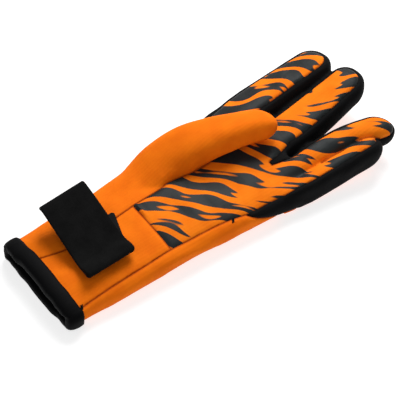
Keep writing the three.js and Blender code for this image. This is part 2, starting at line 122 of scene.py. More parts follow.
# smooth curve through a column of values, which follows the solids' own curves
def curveThrough(places, values):
    t = np.asarray(places, float)
    v = np.asarray(values, float)
    slope = np.diff(v) / np.diff(t)
    tangent = np.concatenate([slope[:1], (slope[1:] + slope[:-1]) / 2, slope[-1:]])

    def at(x):
        x = np.clip(np.asarray(x, float), t[0], t[-1])
        i = np.clip(np.searchsorted(t, x, side="right") - 1, 0, len(t) - 2)
        d = t[i + 1] - t[i]
        p = (x - t[i]) / d
        return (v[i] * (2 * p**3 - 3 * p**2 + 1) + tangent[i] * d * (p**3 - 2 * p**2 + p)
                + v[i + 1] * (3 * p**2 - 2 * p**3) + tangent[i + 1] * d * (p**3 - p**2))

    return at


def handCurves():
    rows = [(r[0] * glove["gauntletLength"], r, glove["gauntletWidth"]) for r in glove["gauntlet"]]
    rows += [(r[0] * glove["palmLength"], r, glove["knuckleWidth"]) for r in glove["palm"]]
    places = [place for place, r, width in rows]
    found = {}
    for name, column in (("little", 1), ("thumb", 2), ("thumbSeam", 4), ("littleSeam", 5)):
        found[name] = curveThrough(places, [r[column] * width for place, r, width in rows])
    found["top"] = curveThrough(places, [r[3] * glove["thickness"] for place, r, width in rows])
    return found


hand = handCurves()


# half width, middle and half thickness of the hand's form at places along it
def handSection(x):
    little, thumbSide = hand["little"](x), hand["thumb"](x)
    return (thumbSide - little) / 2, (thumbSide + little) / 2, hand["top"](x) / 2


# middle line, half width and half thickness of a finger or the thumb, and where it starts and ends
def fingerCurves(i):
    length, width, side, roll, thumbBorder, littleBorder, tip = digits["fingers"][i]
    rows = digits["sections"][i]
    width *= digits["fingerWidth"]
    thick = digits["fingerThickness"] / 2
    places = [glove["palmLength"] + r[0] * length * digits["fingerLength"] for r in rows]
    return {
        "side": curveThrough(places, [side * glove["knuckleWidth"] + r[1] * width for r in rows]),
        "half": curveThrough(places, [r[2] * width for r in rows]),
        "thick": curveThrough(places, [r[3] * thick for r in rows]),
        "height": curveThrough(
            places, [r[3] * thick - glove["pressed"] + r[4] * digits["tipLift"] for r in rows]),
        "first": places[0], "last": places[-1], "tip": tip * width, "roll": math.radians(roll),
        "thumbBorder": thumbBorder * digits["bandBorder"],
        "littleBorder": littleBorder * digits["bandBorder"],
        # the borders that start as a point between two fingers
        "thumbPoint": i > 0, "littlePoint": i < 3,
    }


def thumbCurves():
    rows = digits["thumb"]
    places = [r[0] * digits["thumbLength"] for r in rows]
    return {
        "side": curveThrough(places, [r[1] * glove["knuckleWidth"] for r in rows]),
        "height": curveThrough(places, [r[2] * digits["thumbHeight"] for r in rows]),
        "half": curveThrough(places, [r[3] * digits["thumbWidth"] for r in rows]),
        "thick": curveThrough(places, [r[4] * digits["thumbThickness"] / 2 for r in rows]),
        "first": places[0], "last": places[-1], "tip": digits["thumbNose"], "roll": 0.0,
    }


fingers = [fingerCurves(i) for i in range(4)]
thumb = thumbCurves()


# one ring of a rounded form for each middle point, as rows of points
def roundRings(x, side, height, half, thick, squareness, roll, count):
    angle = np.linspace(0, 2 * math.pi, count, endpoint=False)
    c, s = np.cos(angle), np.sin(angle)
    across = half[:, None] * np.sign(c) * np.abs(c) ** (2 / squareness)
    up = thick[:, None] * np.sign(s) * np.abs(s) ** (2 / squareness)
    y = side[:, None] + across * math.cos(roll) - up * math.sin(roll)
    z = height[:, None] + across * math.sin(roll) + up * math.cos(roll)
    return np.stack([np.broadcast_to(x[:, None], y.shape), y, z], axis=2)


# a closed mesh through rings of points: its points and its faces
def loft(rings):
    rows, count = rings.shape[:2]
    points = rings.reshape(-1, 3)
    j = np.arange(count)
    k = (j + 1) % count
    faces = []
    for i in range(rows - 1):
        here, ahead = i * count, (i + 1) * count
        faces += np.stack([here + j, here + k, ahead + k, ahead + j], 1).tolist()
    faces.append(list(range(count))[::-1])
    faces.append([(rows - 1) * count + n for n in range(count)])
    return points, faces


# one mesh of several lofts
def loftAll(forms):
    points, faces, base = [], [], 0
    for rings in forms:
        formPoints, formFaces = loft(rings)
        points.append(formPoints)
        faces += [[n + base for n in face] for face in formFaces]
        base += len(formPoints)
    return np.concatenate(points), faces


# angles round a tip: their sines place its rings, and their cosines are the rings' widths
tipAngles = np.linspace(0, math.pi / 2, 12)[1:-1]


def handRings():
    x = np.arange(-glove["gauntletLength"] - glove["pastCuff"], glove["palmLength"] + 0.1, glove["step"])
    place = np.concatenate([x, np.full(len(tipAngles), glove["palmLength"])])
    x = np.concatenate([x, glove["palmLength"] + glove["webLength"] * np.sin(tipAngles)])
    wide = np.ones(len(x))
    wide[-len(tipAngles):] = 1 - (1 - np.cos(tipAngles)) * glove["webNarrow"]
    half, side, thick = handSection(place)
    thinned = thick * (1 - glove["webThin"] * (1 - wide))
    return roundRings(
        x, side, thick - glove["pressed"], half * wide, thinned, glove["squareness"], 0.0, glove["around"])


# side and height of a digit's middle line, which runs straight on past its last row
def middleLine(d, x, out):
    last, tip = d["last"], d["tip"]
    return [d[name](x) + (d[name](last) - d[name](last - tip)) / tip * out for name in ("side", "height")]


def digitRings(d):
    x = np.arange(d["first"], d["last"], glove["step"])
    out = np.concatenate([np.zeros(len(x)), d["tip"] * np.sin(tipAngles)])
    wide = np.concatenate([np.ones(len(x)), np.cos(tipAngles)])
    x = np.concatenate([x, np.full(len(tipAngles), d["last"])])
    side, height = middleLine(d, x, out)
    half, thick = d["half"](x) * wide, d["thick"](x) * wide
    return roundRings(x + out, side, height, half, thick, digits["squareness"], d["roll"], digits["around"])


# how far points lie outside the hand's form, in millimetres
def outsideHand(p):
    x = np.minimum(p[:, 0], glove["palmLength"])
    half, side, thick = handSection(x)
    n = glove["squareness"]
    across = np.abs((p[:, 1] - side) / half)
    up = np.abs((p[:, 2] - thick + glove["pressed"]) / thick)
    ring = (across**n + up**n) ** (1 / n)
    beyond = np.maximum(p[:, 0] - glove["palmLength"] - glove["webLength"], 0)
    return np.maximum((ring - 1) * thick, beyond)


# place of points in a digit's own section: across it, up out of it, and how far past its last row
def inDigit(d, p):
    x = np.clip(p[:, 0], d["first"], d["last"])
    out = np.maximum(p[:, 0] - d["last"], 0)
    side, height = middleLine(d, x, out)
    y, z = p[:, 1] - side, p[:, 2] - height
    c, s = math.cos(d["roll"]), math.sin(d["roll"])
    return y * c + z * s, -y * s + z * c, out, d["half"](x), d["thick"](x)


def outsideDigit(d, p):
    across, up, out, half, thick = inDigit(d, p)
    n = digits["squareness"]
    ring = (np.abs(across / half) ** n + np.abs(up / thick) ** n) ** (1 / n)
    ring = np.sqrt(ring**2 + (out / d["tip"]) ** 2)
    return np.maximum((ring - 1) * np.minimum(half, thick), d["first"] - p[:, 0])


# The next functions say which panel a point of the skin belongs to: each is above zero inside its own
def belowBand(p, start, slope):
    done = np.clip((p[:, 0] - start) / slope, 0, 1)
    high = (glove["thickness"] + seams["bandTop"]) * (1 - done) + seams["back"] * done
    return np.minimum(high - p[:, 2], start + slope - p[:, 0])


def inThumbPanel(p):
    others = np.minimum.reduce([outsideHand(p)] + [outsideDigit(d, p) for d in fingers])
    sidePanel = np.minimum.reduce([
        p[:, 1] - hand["thumbSeam"](p[:, 0]), p[:, 2] - seams["back"],
        belowBand(p, seams["thumbSideStart"], seams["thumbSideSlope"])])
    return np.maximum(others - outsideDigit(thumb, p), sidePanel)


def betweenSeams(p):
    return np.minimum.reduce([
        hand["thumbSeam"](p[:, 0]) - p[:, 1], p[:, 1] - hand["littleSeam"](p[:, 0]),
        p[:, 2] - glove["thickness"] / 2])


def inFingerFace(d, p):
    across, up, out, half, thick = inDigit(d, p)
    grown = np.clip((p[:, 0] - seams["palmEnd"]) / seams["borderGrowth"], 0, 1)
    left = half - d["littleBorder"] * (grown if d["littlePoint"] else 1)
    right = half - d["thumbBorder"] * (grown if d["thumbPoint"] else 1)
    tip = d["tip"] - (d["littleBorder"] + d["thumbBorder"]) / 2
    middle, wide = (right - left) / 2, (right + left) / 2
    straight = wide - np.abs(across - middle)
    rounded = (1 - np.sqrt(((across - middle) / wide) ** 2 + (out / tip) ** 2)) * wide
    edge = np.where(out > 0, rounded, straight)
    low = digits["faceDepth"] * digits["fingerThickness"] / 2
    return np.minimum.reduce([edge, up - low, p[:, 0] - d["first"]])


def inPalmPanel(p):
    palm = np.minimum.reduce([betweenSeams(p), p[:, 0], seams["palmEnd"] - p[:, 0]])
    return np.maximum.reduce([palm] + [inFingerFace(d, p) for d in fingers])


def inGauntletPanel(p):
    return np.minimum(betweenSeams(p), -p[:, 0])


def inBackPanel(p):
    slab = np.minimum(seams["back"] - p[:, 2], seams["palmEnd"] - p[:, 0])
    side = np.minimum(
        hand["littleSeam"](p[:, 0]) - p[:, 1], belowBand(p, seams["bandStart"], seams["bandSlope"]))
    found = [slab, side]
    for d in fingers:
        across, up, out, half, thick = inDigit(d, p)
        low = seams["back"] - digits["fingerThickness"] / 2
        wide = half + seams["backSpread"] - np.abs(across)
        found.append(np.minimum.reduce([low - up, wide, p[:, 0] - d["first"]]))
    return np.maximum.reduce(found)


def pressFlat(points):
    k = glove["softBottom"]
    low = points[:, 2] < k
    points[low, 2] = k * np.exp((points[low, 2] - k) / k)
    return points


# a small form that closes the web between the middle finger and the ring finger
def webRings():
    first, last, side, height, half, thick = glove["webFill"]
    along = np.linspace(-0.98, 0.98, 11)
    wide = np.sqrt(1 - along**2)
    x = (first + last) / 2 + along * (last - first) / 2
    one = np.ones(len(x))
    return roundRings(x, one * side, one * height, half * wide, thick * wide, 2.0, 0.0, 24)


def addToScene(name, data):
    made = bpy.data.objects.new(name, data)
    bpy.context.scene.collection.objects.link(made)
    return made


def placesOf(mesh):
    places = np.zeros(len(mesh.vertices) * 3)
    mesh.vertices.foreach_get("co", places)
    return places.reshape(-1, 3)


# One skin over all the forms: they are joined by a voxel remesh and smoothed
def skinMesh(voxel, smoothing):
    points, faces = loftAll([handRings(), webRings()] + [digitRings(d) for d in [thumb] + fingers])
    mesh = bpy.data.meshes.new("skinForms")
    mesh.from_pydata(points.tolist(), [], faces)
    source = addToScene("skinForms", mesh)
    remesh = source.modifiers.new("skin", "REMESH")
    remesh.mode = "VOXEL"
    remesh.voxel_size = voxel
    smooth = source.modifiers.new("smooth", "SMOOTH")
    smooth.factor = 0.5
    smooth.iterations = smoothing
    found = source.evaluated_get(bpy.context.evaluated_depsgraph_get()).to_mesh()
    skin = placesOf(found)
    found.calc_loop_triangles()
    triangles = np.zeros(len(found.loop_triangles) * 3, int)
    found.loop_triangles.foreach_get("vertices", triangles)
    source.to_mesh_clear()
    bpy.data.objects.remove(source)
    bpy.data.meshes.remove(mesh)
    return skin, triangles.reshape(-1, 3)


# both ends of each triangle's three edges, the lower number first
def edgeEnds(triangles):
    return np.sort(triangles[:, [0, 1, 1, 2, 2, 0]].reshape(-1, 2), axis=1)


# the edges that a field's values change sign along, and how far along each they are zero
def crossings(edges, values):
    a, b = edges[values[edges[:, 0]] * values[edges[:, 1]] < 0].T
    return a, b, values[a] / (values[a] - values[b])


# Cuts triangles along the line where a field is zero. A point that is closer to the line than the snap,
# a share of its edge, is moved onto it.
def cutAlong(points, triangles, field, snap=0.3):
    edges = np.unique(edgeEnds(triangles), axis=0)
    a, b, t = crossings(edges, field(points))
    snapped = points.copy()
    onLine = np.zeros(len(points), bool)
    for end, other, share in ((a, b, t), (b, a, 1 - t)):
        close = np.flatnonzero(share < snap)
        close = close[np.argsort(-share[close])]
        end, other, share = end[close], other[close], share[close]
        snapped[end] = points[end] + (points[other] - points[end]) * share[:, None]
        onLine[end] = True
    points = snapped
    values = np.where(onLine, 0.0, field(points))
    a, b, t = crossings(edges, values)
    t = t[:, None]
    base = len(points)
    points = np.concatenate([points, points[a] * (1 - t) + points[b] * t])
    values = np.concatenate([values, np.zeros(len(a))])
    middle = {(int(i), int(j)): base + n for n, (i, j) in enumerate(zip(a, b))}
    signs = np.sign(values[triangles])
    whole = (signs.max(1) * signs.min(1)) >= 0
    made = [triangles[whole]]
    extra = []
    for tri in triangles[~whole].tolist():
        sides = [(tri[n], tri[(n + 1) % 3]) for n in range(3)]
        mids = [middle.get((min(side), max(side))) for side in sides]
        cuts = [n for n in range(3) if mids[n] is not None]
        if len(cuts) == 1:
            n = cuts[0]
            p, q, r = tri[n], tri[(n + 1) % 3], tri[(n + 2) % 3]
            extra += [(p, mids[n], r), (mids[n], q, r)]
        else:
            n = next(n for n in range(3) if n in cuts and (n + 2) % 3 in cuts)
            p, q, r = tri[n], tri[(n + 1) % 3], tri[(n + 2) % 3]
            m, k = mids[n], mids[(n + 2) % 3]
            extra += [(p, m, k), (m, q, r), (m, r, k)]
    made.append(np.array(extra, int).reshape(-1, 3))
    triangles = np.concatenate(made)
    inside = values[triangles].sum(1) > 0
    return points, triangles, inside


def pointNormals(points, triangles):
    a, b, c = (points[triangles[:, n]] for n in range(3))
    normal = np.cross(b - a, c - a)
    total = np.zeros_like(points)
    for n in range(3):
        np.add.at(total, triangles[:, n], normal)
    return total / np.maximum(np.linalg.norm(total, axis=1), 1e-9)[:, None]


def averaged(points, triangles, values, rounds):
    edges = np.unique(edgeEnds(triangles), axis=0)
    count = np.bincount(edges.ravel(), minlength=len(points))[:, None]
    for _ in range(rounds):
        total = np.zeros_like(values)
        np.add.at(total, edges[:, 0], values[edges[:, 1]])
        np.add.at(total, edges[:, 1], values[edges[:, 0]])
        values = (values + total) / (1 + count)
    return values


# edges that only one triangle has, in that triangle's own direction
def borderEdges(triangles):
    directed = triangles[:, [0, 1, 1, 2, 2, 0]].reshape(-1, 2)
    first, count = np.unique(edgeEnds(triangles), axis=0, return_index=True, return_counts=True)[1:]
    return directed[first[count == 1]]


def searchTree(targets):
    tree = kdtree.KDTree(len(targets))
    for i, p in enumerate(targets):
        tree.insert(p, i)
    tree.balance()
    return tree


def distanceTo(points, targets):
    tree = searchTree(targets)
    return np.array([tree.find(p)[2] for p in points])


clothRun = {
    "voxel": 3.6, "smoothing": 3,
    "pinned": 4.0,    # mm beside a seam that stay where they are
    "underside": 4.0, "cuff": -86.0,    # what is below the one height or before the other place stays too
    "frames": 14,
    "settings": {
        "quality": 6, "mass": 0.05, "tension_stiffness": 22.0, "compression_stiffness": 22.0,
        "bending_stiffness": 6.0, "shrink_min": -0.012, "use_pressure": True, "uniform_pressure_force": 1.6,
    },
    "most": 1.5,    # mm that the cloth may move from its pattern
    "nearest": 5, "blend": 0.3,    # how many coarse points move a fine one, and mm that even them out
}


# The panels swell between their seams as the foam does: a coarse copy of the skin is run as cloth, a
# little too large for its seams and with air pressed into it, and its moves are handed to the fine skin
def simulatedCrown(points, seamPoints):
    coarse, triangles = skinMesh(clothRun["voxel"], clothRun["smoothing"])
    coarse = pressFlat(coarse)
    mesh = bpy.data.meshes.new("clothCopy")
    mesh.from_pydata((coarse / 1000).tolist(), [], triangles.tolist())
    copy = addToScene("clothCopy", mesh)
    held = distanceTo(coarse, seamPoints) < clothRun["pinned"]
    held |= (coarse[:, 2] < clothRun["underside"]) | (coarse[:, 0] < clothRun["cuff"])
    copy.vertex_groups.new(name="held").add(np.flatnonzero(held).tolist(), 1.0, "REPLACE")
    cloth = copy.modifiers.new("cloth", "CLOTH")
    cloth.settings.vertex_group_mass = "held"
    for setting, value in clothRun["settings"].items():
        setattr(cloth.settings, setting, value)
    cloth.settings.effector_weights.gravity = 0.0
    cloth.collision_settings.use_collision = False
    cloth.collision_settings.use_self_collision = False
    scene = bpy.context.scene
    scene.frame_start, scene.frame_end = 1, clothRun["frames"]
    cloth.point_cache.frame_start, cloth.point_cache.frame_end = 1, clothRun["frames"]
    for frameNumber in range(1, clothRun["frames"] + 1):
        scene.frame_set(frameNumber)
    found = copy.evaluated_get(bpy.context.evaluated_depsgraph_get()).to_mesh()
    moves = placesOf(found) * 1000 - coarse
    bpy.data.objects.remove(copy)
    bpy.data.meshes.remove(mesh)
    scene.frame_set(1)
    size = np.linalg.norm(moves, axis=1)
    print("cloth moved in mm, mean and most:", round(float(size.mean()), 2), round(float(size.max()), 2))
    moves = averaged(coarse, triangles, moves, 1)
    size = np.maximum(np.linalg.norm(moves, axis=1), 1e-9)[:, None]
    moves *= np.tanh(size / clothRun["most"]) * clothRun["most"] / size
    tree = searchTree(coarse)
    handed = np.zeros_like(points)
    for i, p in enumerate(points):
        near = tree.find_n(p, clothRun["nearest"])
        share = np.array([1 / (distance + clothRun["blend"]) ** 2 for place, n, distance in near])
        handed[i] = (moves[[n for place, n, distance in near]] * share[:, None]).sum(0) / share.sum()
    return handed


def addObject(name, points, faces, materials, slots=None, values=None):
    mesh = bpy.data.meshes.new(name)
    mesh.from_pydata(((points + toFrame) / 1000).tolist(), [], [list(f) for f in faces])
    for material in materials:
        mesh.materials.append(material)
    if slots is not None:
        mesh.polygons.foreach_set("material_index", slots)
    mesh.polygons.foreach_set("use_smooth", [True] * len(mesh.polygons))
    if values is not None:
        for title, numbers in values.items():
            layer = mesh.attributes.new(title, "FLOAT", "POINT")
            layer.data.foreach_set("value", numbers)
    mesh.validate()
    mesh.update()
    return addToScene(name, mesh)


# an sRGB hex colour as the linear colour that a shader takes
def linear(hexColour):
    channels = [int(hexColour[i:i + 2], 16) / 255 for i in (1, 3, 5)]
    return [c / 12.92 if c <= 0.04045 else ((c + 0.055) / 1.055) ** 2.4 for c in channels] + [1.0]


# One node, with its settings, and its inputs given as values or as sockets to link from
def addNode(tree, kind, inputs=None, **settings):
    node = tree.nodes.new(kind)
    for name, value in settings.items():
        setattr(node, name, value)
    for name, value in (inputs or {}).items():
        if isinstance(value, bpy.types.NodeSocket):
            tree.links.new(value, node.inputs[name])
        else:
            node.inputs[name].default_value = value
    return node


def newMaterial(name, values):
    material = bpy.data.materials.new(name)
    material.use_nodes = True
    tree = material.node_tree
    tree.nodes.clear()
    shader = addNode(tree, "ShaderNodeBsdfPrincipled", values)
    addNode(tree, "ShaderNodeOutputMaterial", {"Surface": shader.outputs[0]})
    return material, tree, shader


knit = {
    "wale": 1.3,    # mm between the ribs of the knit, really about 0.5, coarser so that it shows
    "mottle": 14.0,    # mm across the patches where the dye is a little darker
    "bump": 0.16, "matt": 0.82,
}

gripPrint = {
    "swirl": (62.0, 48.0, 60.0),   # mm across the slopes that bend the strokes, along, across and up
    "bend": 3.4,    # how many strokes they bend them over
    "spacing": 14.0,    # mm from stroke to stroke
    "facing": (0.62, 0.76, 0.2),   # the direction across the strokes
    "second": 0.6, "secondTurn": 1.3,   # a thinner stroke runs beside each thick one
    "patch": 27.0,    # mm from where the strokes are thick to where they run out
    "patchRange": (0.32, 0.72), "thick": -0.75, "none": 1.25,
    "edge": 0.09,    # how soft a stroke's edge is
    "relief": 2.6,    # how far it stands up, as a share of the knit's ribs
    "gloss": 0.5,    # its roughness
    "inks": ("#1A1E1F", "#262B2C"),
}


# 1 where the rubbery grip print lies: bent strokes that swell and run out in points
def printMask(tree, place):
    stretched = addNode(tree, "ShaderNodeVectorMath", {
        0: place, 1: [1000 / size for size in gripPrint["swirl"]]}, operation="MULTIPLY")
    slopes = addNode(tree, "ShaderNodeTexNoise", {
        "Vector": stretched.outputs[0], "Scale": 1.0, "Detail": 0.8, "Roughness": 0.4})
    turn = 2 * math.pi
    facing = Vector(gripPrint["facing"]).normalized() * (turn * 1000 / gripPrint["spacing"])
    straight = addNode(tree, "ShaderNodeVectorMath", {0: place, 1: facing}, operation="DOT_PRODUCT")
    phase = addNode(tree, "ShaderNodeMath", {
        0: slopes.outputs[0], 1: gripPrint["bend"] * turn,
        2: straight.outputs["Value"]}, operation="MULTIPLY_ADD")
    strokes = addNode(tree, "ShaderNodeMath", {0: phase.outputs[0]}, operation="SINE")
    double = addNode(tree, "ShaderNodeMath", {
        0: phase.outputs[0], 1: 2.0, 2: gripPrint["secondTurn"]}, operation="MULTIPLY_ADD")
    beside = addNode(tree, "ShaderNodeMath", {0: double.outputs[0]}, operation="SINE")
    both = addNode(tree, "ShaderNodeMath", {
        0: beside.outputs[0], 1: gripPrint["second"], 2: strokes.outputs[0]}, operation="MULTIPLY_ADD")
    patches = addNode(tree, "ShaderNodeTexNoise", {
        "Vector": place, "Scale": 1000 / gripPrint["patch"], "Detail": 0.5})
    few, many = gripPrint["patchRange"]
    needed = addNode(tree, "ShaderNodeMapRange", {
        0: patches.outputs[0], 1: few, 2: many, 3: gripPrint["thick"], 4: gripPrint["none"]})
    above = addNode(tree, "ShaderNodeMath", {0: both.outputs[0], 1: needed.outputs[0]}, operation="SUBTRACT")
    mask = addNode(tree, "ShaderNodeMapRange", {
        0: above.outputs[0], 1: -gripPrint["edge"], 2: gripPrint["edge"]})
    return mask.outputs[0]


# Nylon jersey glued to foam rubber: matt, with fine ribs and a soft sheen where it turns away
def neopreneJersey(name, lit, shade, seamLineAndShade, sheen, printed=False):
    material, tree, shader = newMaterial(name, {
        "Roughness": knit["matt"], "IOR": 1.45, "Specular IOR Level": 0.12,
        "Sheen Weight": sheen, "Sheen Roughness": 0.5, "Sheen Tint": linear(lit)})
    place = addNode(tree, "ShaderNodeTexCoord").outputs["Object"]
    mottle = addNode(tree, "ShaderNodeTexNoise", {
        "Vector": place, "Scale": 1000 / knit["mottle"], "Detail": 3.0})
    soft = addNode(tree, "ShaderNodeMapRange", {0: mottle.outputs[0], 1: 0.35, 2: 0.65})
    dyed = addNode(tree, "ShaderNodeMix", {
        0: soft.outputs[0], 6: linear(shade), 7: linear(lit)}, data_type="RGBA")
    # darker towards the seams, out to 1.5 mm: partly the seam's own dark line, partly painted shade in the
    # sewn groove
    seam = addNode(tree, "ShaderNodeAttribute", attribute_name="seamDistance").outputs["Fac"]
    seamLineAndShadeShare = addNode(tree, "ShaderNodeMapRange", {0: seam, 1: 0.1, 2: 1.5, 3: 0.85, 4: 0.0})
    colour = addNode(tree, "ShaderNodeMix", {
        0: seamLineAndShadeShare.outputs[0], 6: dyed.outputs[2], 7: linear(seamLineAndShade)}, data_type="RGBA").outputs[2]
    ribs = addNode(tree, "ShaderNodeTexWave", {
        "Vector": place, "Scale": 1000 / knit["wale"] / 20 * math.pi, "Distortion": 1.5, "Detail": 2.0,
        "Detail Scale": 1.5}, bands_direction="Y")
    loops = addNode(tree, "ShaderNodeTexNoise", {
        "Vector": place, "Scale": 1000 / knit["wale"], "Detail": 2.0})
    height = addNode(tree, "ShaderNodeMath", {
        0: ribs.outputs["Fac"], 1: loops.outputs[0]}, operation="ADD").outputs[0]
    if printed:
        # the print is a film of rubbery ink: smoother and glossier than the cloth, and it fills the knit
        mask = printMask(tree, place)
        darkInk, lightInk = gripPrint["inks"]
        ink = addNode(tree, "ShaderNodeMix", {
            0: mottle.outputs[0], 6: linear(darkInk), 7: linear(lightInk)}, data_type="RGBA")
        colour = addNode(tree, "ShaderNodeMix", {
            0: mask, 6: colour, 7: ink.outputs[2]}, data_type="RGBA").outputs[2]
        filled = addNode(tree, "ShaderNodeMapRange", {0: mask, 3: 1.0, 4: 0.25})
        under = addNode(tree, "ShaderNodeMath", {0: height, 1: filled.outputs[0]}, operation="MULTIPLY")
        height = addNode(tree, "ShaderNodeMath", {
            0: mask, 1: gripPrint["relief"], 2: under.outputs[0]}, operation="MULTIPLY_ADD").outputs[0]
        gloss = addNode(tree, "ShaderNodeMapRange", {0: mask, 3: knit["matt"], 4: gripPrint["gloss"]})
        tree.links.new(gloss.outputs[0], shader.inputs["Roughness"])
    bump = addNode(tree, "ShaderNodeBump", {"Strength": knit["bump"], "Distance": 0.0004, "Height": height})
    tree.links.new(colour, shader.inputs["Base Color"])
    tree.links.new(bump.outputs[0], shader.inputs["Normal"])
    return material


# Brushed nylon: the loop face that hooks hold, very dark and matt, with a fine uneven nap
def brushedLoop(name, dark, light):
    material, tree, shader = newMaterial(name, {
        "Roughness": 0.92, "Specular IOR Level": 0.04, "Sheen Weight": 0.01, "Sheen Roughness": 0.6})
    place = addNode(tree, "ShaderNodeTexCoord").outputs["Object"]
    tuft, worn = 1.4, 12.0    # mm across a tuft, drawn coarse enough to show, and across a worn patch
    nap = addNode(tree, "ShaderNodeTexNoise", {"Vector": place, "Scale": 1000 / tuft, "Detail": 4.0})
    patch = addNode(tree, "ShaderNodeTexNoise", {"Vector": place, "Scale": 1000 / worn, "Detail": 2.0})
    both = addNode(tree, "ShaderNodeMath", {
        0: nap.outputs[0], 1: 0.5, 2: patch.outputs[0]}, operation="MULTIPLY_ADD")
    share = addNode(tree, "ShaderNodeMapRange", {0: both.outputs[0], 1: 0.5, 2: 1.0})
    colour = addNode(tree, "ShaderNodeMix", {
        0: share.outputs[0], 6: linear(dark), 7: linear(light)}, data_type="RGBA")
    tree.links.new(colour.outputs[2], shader.inputs["Base Color"])
    bump = addNode(tree, "ShaderNodeBump", {"Strength": 0.35, "Distance": 0.0005, "Height": nap.outputs[0]})
    tree.links.new(bump.outputs[0], shader.inputs["Normal"])
    return material


# Woven polyester tape: ribs across the tape, with a faint gloss along them. The ribs are drawn coarser
# than real ones, which are too fine to show.
def wovenTape(name, dark, light, rib, direction):
    material, tree, shader = newMaterial(name, {"Roughness": 0.65, "Specular IOR Level": 0.06})
    place = addNode(tree, "ShaderNodeTexCoord").outputs["Object"]
    ribs = addNode(tree, "ShaderNodeTexWave", {
        "Vector": place, "Scale": 1000 / rib / 20 * math.pi, "Distortion": 0.8,
        "Detail": 1.0}, bands_direction=direction)
    grain = addNode(tree, "ShaderNodeTexNoise", {"Vector": place, "Scale": 1000 / 2.0, "Detail": 3.0})
    colour = addNode(tree, "ShaderNodeMix", {
        0: grain.outputs[0], 6: linear(dark), 7: linear(light)}, data_type="RGBA")
    tree.links.new(colour.outputs[2], shader.inputs["Base Color"])
    height = addNode(tree, "ShaderNodeMath", {0: ribs.outputs["Fac"], 1: grain.outputs[0]}, operation="ADD")
    bump = addNode(tree, "ShaderNodeBump", {
        "Strength": 0.12, "Distance": 0.0002, "Height": height.outputs[0]})
    tree.links.new(bump.outputs[0], shader.inputs["Normal"])
    return material


# the third colour is the seam line, which also carries painted shade in the sewn groove
orangeJersey = neopreneJersey("orangeNeopreneJersey", "#F07406", "#E66A03", "#8A2E04", 0.03)
printedJersey = neopreneJersey("printedNeopreneJersey", "#F27D10", "#EA7208", "#9A3A06", 0.03, printed=True)
blackJersey = neopreneJersey("blackNeopreneJersey", "#0A0A0B", "#060607", "#040404", 0.01)
liningJersey = neopreneJersey("liningJersey", "#060607", "#040405", "#040404", 0.01)
loopCloth = brushedLoop("brushedNylonLoop", "#0B0B0B", "#141414")
bindingTape = wovenTape("wovenBindingTape", "#040405", "#070708", 1.6, "Y")
hookTape = wovenTape("wovenHookTape", "#060606", "#0A0A0B", 1.8, "X")
# the ribs stand for the twist of the thread
tackThread = wovenTape("bondedNylonThread", "#0A0A0B", "#141415", 0.8, "X")


print("skin")
points, triangles = skinMesh(glove["voxel"], glove["smoothing"])
points = pressFlat(points)
print("skin points", len(points))


def beforeCuff(p):
    return p[:, 0] + glove["gauntletLength"]


print("cutting panels")
points, triangles, inside = cutAlong(points, triangles, beforeCuff)
triangles = triangles[inside]
panelTriangles = {}
for name, field in (
        ("thumb_panel", inThumbPanel), ("palm_panel", inPalmPanel), ("gauntlet_panel", inGauntletPanel),
        ("back_panel", inBackPanel)):
    points, cut, inside = cutAlong(points, triangles, field)
    panelTriangles[name] = cut[inside]
    triangles = cut[~inside]
panelTriangles["finger_side_band"] = triangles


# a number for each triangle, the same for all that hang together by their edges
def partNumbers(triangles):
    edge = np.unique(edgeEnds(triangles), axis=0, return_inverse=True)[1].reshape(-1, 3)
    number = np.arange(len(triangles))
    while True:
        before = number
        least = np.full(edge.max() + 1, len(triangles))
        np.minimum.at(least, edge.ravel(), np.repeat(number, 3))
        number = number[least[edge].min(1)]
        if (number == before).all():
            return number


# Scraps that the cuts leave apart from a panel go to the panel that borders them most
def joinScraps():
    for name in list(panelTriangles):
        triangles = panelTriangles[name]
        part, count = np.unique(partNumbers(triangles), return_inverse=True, return_counts=True)[1:]
        part = part.ravel()
        largest = count.argmax()
        panelTriangles[name] = triangles[part == largest]
        for n in np.flatnonzero(np.arange(len(count)) != largest):
            scrap = triangles[part == n]
            corners = np.unique(scrap)
            others = [other for other in panelTriangles if other != name]
            best = max(others, key=lambda other: np.isin(corners, panelTriangles[other]).sum())
            panelTriangles[best] = np.concatenate([panelTriangles[best], scrap])
            print("scrap of", name, "to", best, len(scrap), "triangles")


joinScraps()


# The palm's faces of the ring finger and the little finger meet in one more seam
def nearerLittle(p):
    return outsideDigit(fingers[2], p) - outsideDigit(fingers[3], p)


points, cut, inside = cutAlong(points, panelTriangles["palm_panel"], nearerLittle)
panelTriangles["palm_panel"] = cut
crease = np.intersect1d(cut[inside], cut[~inside])
crease = crease[points[crease, 0] > seams["creaseStart"]]

allTriangles = np.concatenate(list(panelTriangles.values()))
normals = averaged(points, allTriangles, pointNormals(points, allTriangles), 2)
normals /= np.linalg.norm(normals, axis=1)[:, None]

# points that more than one panel has lie on a seam
owners = np.zeros(len(points), int)
for part in panelTriangles.values():
    owners[np.unique(part)] += 1
owners[crease] = 2
onSeam = owners > 1
print("seam points", int(onSeam.sum()))
seamDistance = distanceTo(points, points[onSeam])
drawnIn = seams["grooveDepth"] * np.exp(-(seamDistance / seams["grooveWidth"]) ** 2)
crown = simulatedCrown(points, points[onSeam])
welt = seams["welt"] * np.exp(-((points[:, 0] - seams["weltPlace"]) / seams["weltWidth"]) ** 2)
welt *= np.clip((points[:, 1] - seams["weltFrom"]) / seams["weltFade"], 0, 1) * (betweenSeams(points) > 0)
raised = crown + (welt - drawnIn)[:, None] * normals
raised[:, 2] = np.where(points[:, 2] < glove["softBottom"], np.maximum(raised[:, 2], 0), raised[:, 2])
skin = points + raised
skin[:, 2] = np.maximum(skin[:, 2], glove["aboveFloor"])

